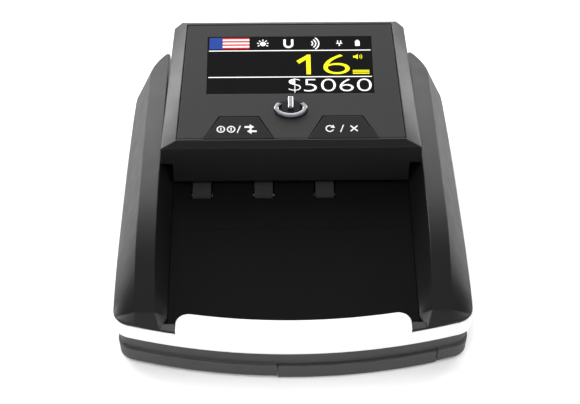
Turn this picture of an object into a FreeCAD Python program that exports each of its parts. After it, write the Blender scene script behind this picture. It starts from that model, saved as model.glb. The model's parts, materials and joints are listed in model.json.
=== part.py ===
import FreeCAD, Part
import math
import os

import Sketcher
from FreeCAD import Placement, Rotation, Vector

# Portable banknote detector and counter. +X right, +Y to the back, +Z up, millimetres.
# The origin is the centre of the outline, on the table under the rubber feet.

SIZES = {
    # plan outline of the trim band
    "half_width": 65.8,
    "half_depth": 75.3,
    "front_bow": 198.0,
    "rear_bow": 360.0,
    "side_bow": 1900.0,
    "corner_radius": 8.5,
    # levels of the stacked housing parts
    "foot_height": 1.5,
    "floor_thickness": 2.0,
    "step_level": 7.6,
    "band_low": 14.7,
    "band_high": 20.6,
    "lip_top": 24.0,
    "wall": 2.0,
    "lean": 4.5,
    "skirt_top_inset": 1.5,
    "skirt_foot_inset": 1.9,
    "cavity_inset": 4.9,
    "tub_top_inset": 1.2,
    "tub_step_inset": 2.5,
    "shell_inset": 0.5,
    "band_inset": 3.4,
    "lip_depth": 8.6,
    "lip_half_width": 41.7,
    # note path
    "tray_half_width": 45.0,
    "tray_front_level": 19.6,
    "tray_front": -66.0,
    "tray_slope": 0.203,
    "tray_split": -22.8,
    "tray_thickness": 1.8,
    "slot_start": 0.0,
    "guide_back": 58.0,
    "sensor_place": 17.0,
    "reader_x": 30.0,
    "reader_y": 24.0,
    # rollers and their drive
    "roller_left": -34.0,
    "roller_middle": -10.5,
    "roller_right": 12.7,
    "roller_width": 7.0,
    "roller_radius": 8.0,
    "shaft_radius": 2.0,
    "feed_place": -1.0,
    "shaft_level": 26.0,
    "shaft_spacing": 35.0,
    "running_gap": 0.05,
    "gear_module": 0.7,
    "gear_width": 4.0,
    "gear_place": 48.6,
    "wheel_teeth": 30,
    "idler_teeth": 20,
    "pinion_teeth": 12,
    "pinch_radius": 5.0,
    "pinch_shaft_radius": 1.5,
    "note_gap": 0.1,
    "motor_radius": 12.0,
    "motor_length": 23.0,
    "motor_shaft_radius": 1.0,
    # head
    "head_front": -3.6,
    "head_low": 44.0,
    "head_bottom": 34.6,
    "head_lower_half_width": 44.6,
    "panel_front": -2.0,
    "panel_level": 54.0,
    "panel_tilt": 14.27,
    "panel_length": 57.8,
    "panel_front_half": 42.9,
    "panel_rear_half": 40.35,
    "panel_thickness": 1.6,
    "panel_gap": 0.3,
    "hinge_place": 60.0,
    "hinge_level": 33.5,
    "hinge_radius": 2.0,
    "ear_radius": 3.6,
    "ear_thickness": 2.0,
    # controls and display, measured along the tilted panel from its front edge
    "key_depth": 2.6,
    "stem_end": -5.4,
    "window_half_width": 32.1,
    "window_front": 22.3,
    "window_rear": 51.4,
    "key_place": 19.6,
    "key_switch_place": 6.0,
    "key_front_half": 13.2,
    "key_rear_half": 7.2,
    "key_front": 0.6,
    "key_rear": 11.0,
    "key_gap": 0.4,
    "power_place": 14.4,
    "power_half_width": 6.3,
    "power_half_depth": 4.4,
    "power_stroke": 1.8,
    "power_height": 1.4,
    "power_bar_width": 2.1,
    # battery and its door
    "door_left": -6.0,
    "door_right": 52.0,
    "door_back": -34.0,
    "door_gap": 0.35,
    "battery_width": 50.0,
    "battery_depth": 28.0,
    "battery_height": 8.0,
    "pack_lift": 1.1,
    # electronics in the base
    "board_level": 7.0,
    "board_thickness": 1.6,
    "inlet_place": -38.0,
    "port_level": 10.2,
    "inlet_mouth_radius": 3.9,
    "inlet_front": 58.0,
    "inlet_face": 67.6,
    # fasteners and feet
    "screw_radius": 1.4,
    "screw_head_radius": 2.7,
    "foot_radius": 4.0,
}

doc = FreeCAD.newDocument("banknote_counter")
sheet = doc.addObject("Spreadsheet::Sheet", "Sizes")
for row, (alias, number) in enumerate(SIZES.items(), start=1):
    sheet.set(f"A{row}", alias)
    sheet.set(f"B{row}", str(number))
    sheet.setAlias(f"B{row}", alias)
doc.recompute()

X_AXIS = Vector(1, 0, 0)
Y_AXIS = Vector(0, 1, 0)
Z_AXIS = Vector(0, 0, 1)
SIDES = (-1, 1)

sub_parts = []


def size(alias):
    return float(sheet.get(alias))


def roller_places():
    return [size("roller_left"), size("roller_middle"), size("roller_right")]


# ---------------------------------------------------------------- helpers: document objects


def keep(item, label):
    """Registers one finished sub-part under the name of its file."""
    item.Label = label
    sub_parts.append(item)
    return item


def free_form(label, shape):
    """A finished sub-part from a worked shape, where no body or primitive fits."""
    item = doc.addObject("Part::Feature", label)
    item.Shape = shape
    return keep(item, label)


def bind(item, prop, formula):
    """Binds a property to a formula in the sheet's aliases, or sets a plain number."""
    if isinstance(formula, str):
        item.setExpression(prop, formula)
    else:
        setattr(item, prop, formula)


def place(item, x=0.0, y=0.0, z=0.0, axis=Z_AXIS, angle=0.0):
    """Places an object; coordinates given as text become formulas."""
    numbers = [value if not isinstance(value, str) else 0.0 for value in (x, y, z)]
    item.Placement = Placement(Vector(*numbers), Rotation(axis, angle))
    for letter, value in (("x", x), ("y", y), ("z", z)):
        if isinstance(value, str):
            item.setExpression(f"Placement.Base.{letter}", value)
    return item


def cylinder(name, radius, height, x=0.0, y=0.0, z=0.0, axis=Z_AXIS, angle=0.0):
    item = doc.addObject("Part::Cylinder", name)
    bind(item, "Radius", radius)
    bind(item, "Height", height)
    return place(item, x, y, z, axis, angle)


def box(name, length, width, height, x=0.0, y=0.0, z=0.0):
    item = doc.addObject("Part::Box", name)
    bind(item, "Length", length)
    bind(item, "Width", width)
    bind(item, "Height", height)
    return place(item, x, y, z)


def cut(name, base, tool):
    item = doc.addObject("Part::Cut", name)
    item.Base = base
    item.Tool = tool
    return item


def fuse(name, members):
    item = doc.addObject("Part::MultiFuse", name)
    item.Shapes = members
    return item


def group(name, members):
    """Several identical separate solids in one node."""
    item = doc.addObject("Part::Compound", name)
    item.Links = members
    return item


def body(label):
    item = doc.addObject("PartDesign::Body", label)
    return keep(item, label)


def sketch(owner, name, plane="XY_Plane", x=0.0, y=0.0, z=0.0):
    """A sketch on one of the body's own origin planes, shifted by numbers or formulas."""
    item = owner.newObject("Sketcher::SketchObject", name)
    support = [feature for feature in owner.Origin.OriginFeatures if feature.Role == plane][0]
    item.AttachmentSupport = [(support, "")]
    item.MapMode = "FlatFace"
    numbers = [value if not isinstance(value, str) else 0.0 for value in (x, y, z)]
    item.AttachmentOffset = Placement(Vector(*numbers), Rotation())
    for letter, value in (("x", x), ("y", y), ("z", z)):
        if isinstance(value, str):
            item.setExpression(f"AttachmentOffset.Base.{letter}", value)
    return item


def draw_rectangle(target, width, depth):
    """A rectangle centred on the sketch's origin, with both sizes bound."""
    start = target.GeometryCount
    corners = [Vector(-5, -4, 0), Vector(5, -4, 0), Vector(5, 4, 0), Vector(-5, 4, 0)]
    for index in range(4):
        target.addGeometry(Part.LineSegment(corners[index], corners[(index + 1) % 4]), False)
    for index in range(4):
        after = start + (index + 1) % 4
        target.addConstraint(Sketcher.Constraint("Coincident", start + index, 2, after, 1))
    for index, kind in enumerate(("Horizontal", "Vertical", "Horizontal", "Vertical")):
        target.addConstraint(Sketcher.Constraint(kind, start + index))
    target.addConstraint(Sketcher.Constraint("Symmetric", start, 1, start + 2, 1, -1, 1))
    for kind, line, formula in (("DistanceX", start, width), ("DistanceY", start + 1, depth)):
        number = formula if not isinstance(formula, str) else 8.0
        index = target.addConstraint(Sketcher.Constraint(kind, line, 1, line, 2, number))
        if isinstance(formula, str):
            target.setExpression(f"Constraints[{index}]", formula)


def draw_circle(target, radius):
    """A circle centred on the sketch's origin."""
    start = target.addGeometry(Part.Circle(Vector(), Z_AXIS, 3.0), False)
    target.addConstraint(Sketcher.Constraint("Coincident", start, 3, -1, 1))
    number = radius if not isinstance(radius, str) else 3.0
    index = target.addConstraint(Sketcher.Constraint("Radius", start, number))
    if isinstance(radius, str):
        target.setExpression(f"Constraints[{index}]", radius)


def draw_outline(target, points):
    """A closed outline of straight lines, each corner held by its two distances."""
    start = target.GeometryCount
    count = len(points)
    for index in range(count):
        here = Vector(*points[index], 0)
        there = Vector(*points[(index + 1) % count], 0)
        target.addGeometry(Part.LineSegment(here, there), False)
    for index in range(count):
        after = start + (index + 1) % count
        target.addConstraint(Sketcher.Constraint("Coincident", start + index, 2, after, 1))
    for index, (across, up) in enumerate(points):
        line = start + index
        target.addConstraint(Sketcher.Constraint("DistanceX", -1, 1, line, 1, across))
        target.addConstraint(Sketcher.Constraint("DistanceY", -1, 1, line, 1, up))


def pad(owner, profile, length, symmetric=False, reverse=False):
    item = owner.newObject("PartDesign::Pad", profile.Name + "_pad")
    item.Profile = profile
    bind(item, "Length", length)
    item.Midplane = symmetric
    item.Reversed = reverse
    return item


def pocket(owner, profile, symmetric=True, length=400.0):
    """A pocket through the body on both sides of its sketch."""
    item = owner.newObject("PartDesign::Pocket", profile.Name + "_pocket")
    item.Profile = profile
    bind(item, "Length", length)
    item.Midplane = symmetric
    return item


def soften(owner, feature, radius, edges, name):
    item = owner.newObject("PartDesign::Fillet", name)
    item.Base = (feature, edges)
    item.Radius = radius
    return item


def edges_where(shape, test):
    """Names of the edges whose middle point passes the test."""
    names = []
    for index, edge in enumerate(shape.Edges, start=1):
        middle = edge.valueAt((edge.FirstParameter + edge.LastParameter) / 2)
        if test(edge, middle):
            names.append(f"Edge{index}")
    return names


def is_vertical(edge):
    first, last = edge.Vertexes[0].Point, edge.Vertexes[-1].Point
    return (first - last).Length > 0.5 and math.hypot(first.x - last.x, first.y - last.y) < 0.01


# ---------------------------------------------------------------- helpers: plan and path shapes


def plan_block(inset, low, high, top_inset=None):
    """A slab with the housing's bowed plan outline moved in by an inset; a second inset drafts it."""
    height = high - low
    front_bow, rear_bow, side_bow = size("front_bow"), size("rear_bow"), size("side_bow")
    half_depth, half_width = size("half_depth"), size("half_width")

    def disc(radius, x, y):
        if top_inset is None:
            shape = Part.makeCylinder(radius - inset, height, Vector(x, y, low))
        else:
            shape = Part.makeCone(radius - inset, radius - top_inset, height, Vector(x, y, low))
        shape.rotate(Vector(x, y, low), Z_AXIS, 45)
        return shape

    block = disc(front_bow, 0, front_bow - half_depth)
    block = block.common(disc(rear_bow, 0, half_depth - rear_bow))
    block = block.common(disc(side_bow, side_bow - half_width, 0))
    block = block.common(disc(side_bow, half_width - side_bow, 0))
    upright = [edge for edge in block.Edges if edge.BoundBox.ZLength > 0.9 * height]
    smallest_corner = 1.5
    return block.makeFillet(max(smallest_corner, size("corner_radius") - inset), upright)


def brick(x_from, x_to, y_from, y_to, z_from, z_to):
    corner = Vector(x_from, y_from, z_from)
    return Part.makeBox(x_to - x_from, y_to - y_from, z_to - z_from, corner)


def side_slab(points, x_from, x_to):
    """A side profile of (Y, Z) points, extruded across the machine."""
    corners = [Vector(x_from, y, z) for y, z in points]
    wire = Part.makePolygon(corners + corners[:1])
    return Part.Face(wire).extrude(Vector(x_to - x_from, 0, 0))


def rod(radius, length, x, y, z, axis=X_AXIS):
    return Part.makeCylinder(radius, length, Vector(x, y, z), axis)


def tray_level(y):
    """Height of the note path's floor: a ramp up to the slot, then level."""
    return size("tray_front_level") + size("tray_slope") * (min(y, size("slot_start")) - size("tray_front"))


def on_panel(along, lift=0.0, x=0.0):
    """Point on the tilted control panel: distance from its front edge, and height above it."""
    angle = math.radians(size("panel_tilt"))
    y = size("panel_front") + along * math.cos(angle) - lift * math.sin(angle)
    z = size("panel_level") + along * math.sin(angle) + lift * math.cos(angle)
    return Vector(x, y, z)


def panel_placement(along=0.0, lift=0.0, x=0.0):
    return Placement(on_panel(along, lift, x), Rotation(X_AXIS, size("panel_tilt")))


def panel_prism(points, low, high):
    """A prism of (across, along) points standing square to the control panel."""
    corners = [Vector(across, along, low) for across, along in points]
    shape = Part.Face(Part.makePolygon(corners + corners[:1])).extrude(Vector(0, 0, high - low))
    shape.Placement = panel_placement()
    return shape


def side_span(side, near, far):
    """The X range between two distances from the middle, on the left (-1) or the right (1)."""
    return sorted((side * near, side * far))


def rim_edges(shape, level):
    """Edges of a plain shape that lie wholly at or above a level."""
    return [edge for edge in shape.Edges if edge.BoundBox.ZMin > level - 0.01]


def foot_edges(shape, level):
    """Edges of a plain shape that lie wholly at or below a level."""
    return [edge for edge in shape.Edges if edge.BoundBox.ZMax < level + 0.01]


PATH_LEVEL = tray_level(size("slot_start"))
FLOOR_TOP = size("foot_height") + size("floor_thickness")
REAR_SHAFT = size("feed_place") + size("shaft_spacing")
IDLER_Y = size("feed_place") + size("shaft_spacing") / 2
IDLER_BORE = 1.5
MOTOR_NOSE = 3.0
MOTOR_ANGLE = math.radians(36)
MOTOR_DISTANCE = (size("wheel_teeth") + size("pinion_teeth")) / 2 * size("gear_module")
MOTOR_Y = REAR_SHAFT + MOTOR_DISTANCE * math.cos(MOTOR_ANGLE)
MOTOR_Z = size("shaft_level") - MOTOR_DISTANCE * math.sin(MOTOR_ANGLE)
PINCH_DISTANCE = size("roller_radius") + size("pinch_radius") + size("note_gap")
FRONT_PINCH_OFFSET = 5.0
FRONT_PINCH_Y = size("feed_place") + FRONT_PINCH_OFFSET
FRONT_PINCH_Z = size("shaft_level") + math.sqrt(PINCH_DISTANCE ** 2 - FRONT_PINCH_OFFSET ** 2)
REAR_PINCH_Z = size("shaft_level") + PINCH_DISTANCE
PLATE_FACE = size("tray_half_width") - 3.0
BUSH_RADIUS = 3.6
GUIDE_THICKNESS = 1.6
SENSOR_PANE = (72.0, 6.0)
READER = (12.0, 5.0)
BOSS_PLACES = [(-51.6, 59.0), (51.6, 59.0), (-58.0, -40.0), (58.0, -40.0), (-58.0, 10.0), (58.0, 10.0)]
BOSS_TOP = size("band_low") + 4.0
PILLAR_PIN = 1.5
BOARD_HOLES = [(-49.0, -56.0), (-15.0, -56.0), (-49.0, -12.0), (-15.0, -12.0)]
FOOT_PLACES = [(-57.0, -57.0), (57.0, -57.0), (-57.0, 46.0), (57.0, 46.0)]


# ---------------------------------------------------------------- lower housing


def skirt_block():
    """The base below its step, narrower towards the table and slightly proud of the wall above."""
    low, high = size("foot_height"), size("step_level")
    return plan_block(size("skirt_foot_inset"), low, high, size("skirt_top_inset"))


def make_base_chassis():
    """Stepped tub: narrower skirt below, wider wall above, bosses and a battery bay."""
    bottom, step, top = size("foot_height"), size("step_level"), size("band_low")
    cavity = size("cavity_inset")
    boss_radius, rib, bay_margin = 3.2, 1.6, 3.0
    root = FLOOR_TOP - 0.5
    skirt = skirt_block()
    skirt = skirt.makeChamfer(0.7, foot_edges(skirt, bottom))
    upper_wall = plan_block(size("tub_step_inset"), step, top, size("tub_top_inset"))
    tub = skirt.fuse(upper_wall)
    tub = tub.cut(plan_block(cavity, FLOOR_TOP, top + 1))
    inside = plan_block(cavity - 1.5, 0, 40)
    for x, y in BOSS_PLACES:
        boss = rod(boss_radius, BOSS_TOP - 0.1 - root, x, y, root, Z_AXIS)
        tub = tub.fuse(boss.common(inside))
    # low ribs round the battery bay
    bay_left, bay_right = size("door_left") - bay_margin, size("door_right") + bay_margin
    bay_back = size("door_back") + bay_margin
    rib_top = FLOOR_TOP + size("battery_height") + 1.0
    for x in (bay_left, bay_right - rib):
        side_rib = brick(x, x + rib, -72, bay_back, root, rib_top)
        tub = tub.fuse(side_rib.common(inside))
    tub = tub.fuse(brick(bay_left, bay_right, bay_back - rib, bay_back, root, rib_top))
    tub = tub.removeSplitter()
    # doorway through the floor and the skirt
    tub = tub.cut(brick(size("door_left"), size("door_right"), -90, size("door_back"), 0, step))
    for x, y in BOSS_PLACES:
        tub = tub.cut(rod(size("screw_radius") + 0.1, 40, x, y, -1, Z_AXIS))
        tub = tub.cut(rod(size("screw_head_radius") + 0.2, 2.0, x, y, 0, Z_AXIS))
    # round mouth of the power inlet in the rear wall, and the speaker's sound holes
    level, behind = size("port_level"), 66.0
    tub = tub.cut(rod(size("inlet_mouth_radius"), 20, size("inlet_place"), behind, level, Y_AXIS))
    for column in range(-2, 3):
        for line in range(-1, 2):
            tub = tub.cut(rod(0.6, 20, 4.0 * column, behind, level + 2.6 * line, Y_AXIS))
    return free_form("base_chassis", tub)


def make_battery_door():
    """Door of the battery bay: a floor panel and the piece of skirt in front of it."""
    gap, bottom = size("door_gap"), size("foot_height")
    step = size("step_level")
    left, right, back = size("door_left") + gap, size("door_right") - gap, size("door_back") - gap
    leaf = brick(left, right, -80, back, bottom, FLOOR_TOP)
    front = brick(left, right, -80, -60, bottom, step - gap)
    front = front.cut(plan_block(size("cavity_inset"), 0, 40))
    door = leaf.fuse(front)
    rail_width, tongue = 4.0, 1.5
    for x in (left + 2 * rail_width, right - 3 * rail_width):
        # a rail under the pack, ending in a tongue that rests on the tub's floor
        rail = brick(x, x + rail_width, -60, back + tongue, FLOOR_TOP - 0.5, FLOOR_TOP + 0.9)
        door = door.fuse(rail)
    door = door.cut(brick(left, right, back, back + 5.0, 0, FLOOR_TOP)).common(skirt_block())
    door = door.removeSplitter()
    # finger grooves under the front
    groove_pitch, groove_width = 2.4, 1.0
    for number in range(3):
        start = -66 + groove_pitch * number
        door = door.cut(brick(8.0, 38.0, start, start + groove_width, bottom - 1, bottom + 0.6))
    return free_form("battery_door", door)


def make_trim_band():
    """Pale band round the housing, raised and widened at the front into the tray's lip."""
    low, high, top = size("band_low"), size("band_high"), size("lip_top")
    half = size("lip_half_width")
    outer = plan_block(0, low, high)
    outer = outer.makeFillet(0.6, foot_edges(outer, low))
    ring = outer.cut(plan_block(size("band_inset"), low - 1, high + 1))
    lip = plan_block(0, low + 0.7, top)
    lip = lip.cut(plan_block(size("lip_depth"), low, top + 1))
    lip = lip.common(brick(-half, half, -90, -40, low, top + 1))
    inner_corners = [edge for edge in lip.Edges if is_vertical(edge) and edge.CenterOfMass.y > -66]
    lip = lip.makeFillet(4.5, inner_corners)
    lip = lip.makeFillet(1.2, rim_edges(lip, top))
    return free_form("trim_band", ring.fuse(lip).removeSplitter())


# ---------------------------------------------------------------- upper housing

# (Y, Z) of the wings' upper edge: a flat ledge in front, then the curve up to the back
RIDGE_TOP = 43.4
LEDGE = [(-76, 18.6), (-62, 23.4)]
RIDGE = [
    LEDGE[-1],
    (-54, 30.8),
    (-45, 36.4),
    (-33, 40.6),
    (-18, 42.6),
    (0, RIDGE_TOP),
    (38, RIDGE_TOP),
    (76, RIDGE_TOP),
]
RIDGE_X = 56.4


def wing_wire(side, y, ridge, trim):
    """Cross-section of one wing at a depth, its walls leaning; a trim above zero gives its hollow."""
    band = size("band_high")
    low = band - 3.0 if trim == 0 else band - 11.0
    inner, outer = size("tray_half_width"), size("half_width") - 0.6
    ramp = min(tray_level(y) + 0.6, ridge - 1.4)
    # the inner wall is upright where the ledge starts and leans fully from its back end on
    (_, ledge_front), (_, ledge_back) = LEDGE
    lean = size("lean") * min(1.0, (ridge - ledge_front) / (ledge_back - ledge_front))
    points = [
        (outer - 1.25 * trim, band),
        (outer - 1.25 * trim, low),
        (inner + trim, low),
        (inner + trim, ramp - 0.4 * trim),
        (inner + lean + 0.6 * trim, ridge - trim),
        (RIDGE_X, ridge - trim),
    ]
    corners = [Vector(side * x, y, z) for x, z in points]
    return Part.makePolygon(corners + corners[:1])


def wing_block(side, trim):
    """One wing from its ledge to the back; a trim above zero gives its hollow, behind the ledge."""
    ledge = [wing_wire(side, y, ridge, trim) for y, ridge in LEDGE]
    curve = [wing_wire(side, y, ridge, trim) for y, ridge in RIDGE]
    wing = Part.makeLoft(curve, True, False, False, 3)
    if trim == 0:
        wing = wing.fuse(Part.makeLoft(ledge, True, True))
    return wing


def rear_corner_wire(side, level, flank, turn_in, rear):
    """Plan outline at a level whose rear corner is an arc from flank to turn_in, both (X, Y)."""
    across, along = flank[0] - turn_in[0], turn_in[1] - flank[1]
    radius = (across ** 2 + along ** 2) / (2 * across)
    half_turn = math.asin(min(1.0, along / radius)) / 2
    middle_x = flank[0] - radius * (1 - math.cos(half_turn))
    middle_y = flank[1] + radius * math.sin(half_turn)
    front = size("half_depth") + 20
    start, end = Vector(side * flank[0], flank[1], level), Vector(side * turn_in[0], turn_in[1], level)
    corner = Part.Arc(start, Vector(side * middle_x, middle_y, level), end).toShape()
    path = [Vector(0, rear, level), Vector(0, -front, level), Vector(side * flank[0], -front, level), start]
    lines = [Part.makeLine(first, second) for first, second in zip(path, path[1:])]
    return Part.Wire(lines + [corner, Part.makeLine(end, path[0])])


def rear_envelope(side, inset=0.0):
    """One side of the space that rounds the wing's rear corner: tight at the band, wide at the top."""
    low_flank = (size("half_width") - 0.2 - inset, 65.6 - inset)
    low_turn = (57.0 - inset, 74.6 - inset)
    high_flank = (RIDGE_X + 0.3 - inset, 50.5 - inset)
    high_turn = (49.0 - inset, 72.1 - inset)
    low = rear_corner_wire(side, size("band_high") - 0.5, low_flank, low_turn, 76.0 - inset)
    high = rear_corner_wire(side, RIDGE_TOP + 1.0, high_flank, high_turn, 74.0 - inset)
    return Part.makeLoft([low, high], True, True)


def wing_posts(side):
    """Posts inside one wing that take the housing screws."""
    places = [(x, y) for x, y in BOSS_PLACES if x * side > 0]
    posts = Part.makeCompound([rod(3.0, 30.0, x, y, BOSS_TOP, Z_AXIS) for x, y in places])
    return posts.common(side_slab([(-60, 0), (56.0, 0), (66.0, 22), (58.0, 38), (-60, 50)], -80, 80))


def make_upper_shell():
    """Two raised wings joined behind the note path by a sloping rear deck."""
    band, inset, wall = size("band_high"), size("shell_inset"), size("wall")
    envelope = plan_block(inset, band, band + 40)
    envelope_low = plan_block(size("band_inset") + 0.3, band - 2, band + 40)
    hollow_plan = plan_block(inset + 2.4, band - 9, band + 40)
    shell = None
    for side in SIDES:
        wing = wing_block(side, 0).common(envelope).common(rear_envelope(side))
        hollow = wing_block(side, wall).common(hollow_plan).common(rear_envelope(side, wall + 0.4))
        hollow = hollow.common(brick(-80, 80, -56.0, 66.0, 0, 60))
        # solid round the notch beside the head
        hollow = hollow.cut(brick(-51.6, 51.6, 50, 66, 33.6, 60))
        wing = wing.cut(hollow)
        wing = wing.fuse(wing_posts(side).common(wing_block(side, 0)).common(envelope_low))
        shell = wing if shell is None else shell.fuse(wing)
    deck = side_slab([(58.4, band), (58.4, 30.0), (61.0, 31.2), (72.0, 23.0), (76, band)], -52, 52)
    deck = deck.common(envelope)
    under_deck = [(60.4, band - 1), (60.4, 28.4), (61.2, 28.8), (69.6, 22.0), (71, band - 1)]
    deck = deck.cut(side_slab(under_deck, -62, 62))
    shell = shell.fuse(deck)
    # toes beside the lip, in front of the tray floor
    for side in SIDES:
        x_from, x_to = side_span(side, size("lip_half_width") + 0.05, size("tray_half_width") + 2.0)
        toe = brick(x_from, x_to, -90, size("tray_front"), band, band + 0.8)
        shell = shell.fuse(toe.common(envelope))
    for x, y in BOSS_PLACES:
        shell = shell.cut(rod(size("screw_radius"), 8.0, x, y, BOSS_TOP - 1.0, Z_AXIS))
    for side in SIDES:
        # room for the drive shafts and their gears through the inner wall
        x_from, x_to = side_span(side, 44.0, 47.4)
        shell = shell.cut(brick(x_from, x_to, -8.0, 53.0, 0, 31.0))
        # room for the head's hinge ear in the deck
        x_from, x_to = side_span(side, 42.2, size("tray_half_width") - 0.05)
        shell = shell.cut(brick(x_from, x_to, 50, 64.6, 29.4, 40))
        # the head's side drops beside the wing at the back
        x_from, x_to = side_span(side, 40.0, 49.1)
        shell = shell.cut(brick(x_from, x_to, 52, 90, 35.6, 60))
        # hole of the hinge pin
        x_from, x_to = side_span(side, 42.0, 47.8)
        y, z = size("hinge_place"), size("hinge_level")
        shell = shell.cut(rod(size("hinge_radius"), x_to - x_from, x_from, y, z))
    # the two large gears turn in shallow pockets of the right wing's inner wall
    for y in (size("feed_place"), REAR_SHAFT):
        shell = shell.cut(rod(11.7, 5.0, size("gear_place") - 0.3, y, size("shaft_level")))
    # the wings lean forwards at the very back
    shell = shell.cut(side_slab([(74.4, band + 2), (90, band + 2), (90, 46), (70.2, 46)], -70, 70))
    return free_form("upper_shell", shell)


def make_note_tray():
    """Gloss floor of the note tray, a thin ramp that follows the lip's curve in front."""
    back = size("tray_split") - 0.05
    front = -73.0
    half = size("tray_half_width") - 0.1
    depth = size("tray_thickness")
    profile = [(front, tray_level(front)), (back, tray_level(back)),
               (back, tray_level(back) - depth), (front, tray_level(front) - depth)]
    floor = side_slab(profile, -half, half)
    behind_lip = floor.common(plan_block(size("lip_depth") + 0.05, 0, 60))
    for side in SIDES:
        x_from, x_to = side_span(side, size("lip_half_width") + 0.05, half)
        beside_lip = floor.common(brick(x_from, x_to, size("tray_front") - 0.1, -50, 0, 60))
        behind_lip = behind_lip.fuse(beside_lip)
    return free_form("note_tray", behind_lip)


def make_lower_guide():
    """Guide plate under the rollers: a ramp from the tray, then level to the rear exit."""
    guide = body("lower_guide")
    front, back, slot = size("tray_split"), size("guide_back"), size("slot_start")
    thick = size("tray_thickness")
    profile = sketch(guide, "guide_profile", "YZ_Plane")
    draw_outline(profile, [
        (front, tray_level(front)), (slot, PATH_LEVEL), (back - 2, PATH_LEVEL), (back, PATH_LEVEL - 0.8),
        (back, PATH_LEVEL - thick), (slot, PATH_LEVEL - thick), (front, tray_level(front) - thick),
    ])
    pad(guide, profile, "Sizes.tray_half_width * 2 - 0.2", symmetric=True)
    for number, x in enumerate(roller_places()):
        for row, y, depth in (("front", size("feed_place") - 0.5, 14.4), ("rear", REAR_SHAFT, 13.2)):
            window = sketch(guide, f"window_{row}_{number}", "XY_Plane", x, y, PATH_LEVEL)
            draw_rectangle(window, "Sizes.roller_width + 1.2", depth)
            pocket(guide, window, length=12.0)
    for name, side in (("left", -1), ("right", 1)):
        notch = sketch(guide, f"ear_notch_{name}", "XY_Plane", side * 45.0, 59.0, PATH_LEVEL)
        draw_rectangle(notch, 5.6, 14.0)
        pocket(guide, notch, length=12.0)
    opening = sketch(guide, "sensor_opening", "XY_Plane", 0.0, "Sizes.sensor_place", PATH_LEVEL)
    draw_rectangle(opening, SENSOR_PANE[0] + 0.2, SENSOR_PANE[1] + 0.2)
    pocket(guide, opening, length=12.0)


# ---------------------------------------------------------------- rollers, shafts and gears


def roller_set(label, radius, bore, y, z):
    """Three rubber rollers on one shaft."""
    rings = []
    width = "Sizes.roller_width"
    for number, x in enumerate(roller_places()):
        start = x - size("roller_width") / 2
        tyre = cylinder(f"{label}_tyre_{number}", radius, width, start, y, z, Y_AXIS, 90)
        hole = cylinder(f"{label}_bore_{number}", bore, width + " + 2", start - 1, y, z, Y_AXIS, 90)
        rings.append(cut(f"{label}_ring_{number}", tyre, hole))
    return keep(group(label + "_group", rings), label)


def straight_shaft(label, radius, x_from, x_to, y, z):
    """A plain round shaft along X with small end chamfers."""
    shaft = body(label)
    circle = sketch(shaft, label + "_circle", "YZ_Plane", y, z, x_from)
    draw_circle(circle, radius)
    stem = pad(shaft, circle, x_to - x_from)
    doc.recompute()
    ends = edges_where(stem.Shape, lambda edge, middle: edge.Curve.TypeId == "Part::GeomCircle")
    chamfer = shaft.newObject("PartDesign::Chamfer", label + "_chamfer")
    chamfer.Base = (stem, ends)
    chamfer.Size = 0.3


def involute_outline(teeth, turn):
    """Corner points of a spur gear with involute flanks and a little backlash."""
    pressure, backlash = math.radians(25), 0.05
    pitch = teeth * size("gear_module") / 2
    base = pitch * math.cos(pressure)
    tip = pitch + 0.8 * size("gear_module")
    root = pitch - 1.15 * size("gear_module")
    half_tooth = math.pi / 2 / teeth - backlash / pitch
    involute_at_pitch = math.tan(pressure) - pressure
    radii = [max(base, root) + (tip - max(base, root)) * step / 4 for step in range(5)]
    flank = []
    for radius in radii:
        roll = math.acos(min(1.0, base / radius))
        flank.append((radius, half_tooth + involute_at_pitch - (math.tan(roll) - roll)))
    if root < base:
        flank.insert(0, (root, flank[0][1]))
    points = []
    for tooth in range(teeth):
        centre = math.radians(turn) + 2 * math.pi * tooth / teeth
        for radius, angle in flank:
            points.append((radius * math.cos(centre - angle), radius * math.sin(centre - angle)))
        for radius, angle in reversed(flank):
            points.append((radius * math.cos(centre + angle), radius * math.sin(centre + angle)))
    return points


def spur_gear(label, teeth, turn, bore, y, z, hub=0.0):
    """Spur gear across the drive plane; the hub stands towards the middle."""
    outline = involute_outline(int(teeth), turn)
    start = size("gear_place")
    corners = [Vector(start, y + across, z + up) for across, up in outline]
    wheel = Part.Face(Part.makePolygon(corners + corners[:1])).extrude(Vector(size("gear_width"), 0, 0))
    if hub:
        wheel = wheel.fuse(rod(hub, 1.4, start - 1.4, y, z))
        # the large wheels are lightened by a ring of holes
        holes, circle = 5, 5.8
        for hole in range(holes):
            angle = 2 * math.pi * hole / holes
            hole_y, hole_z = y + circle * math.cos(angle), z + circle * math.sin(angle)
            wheel = wheel.cut(rod(1.9, 8, start - 1, hole_y, hole_z))
    wheel = wheel.cut(rod(bore, 12, start - 4, y, z))
    return free_form(label, wheel)


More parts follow.
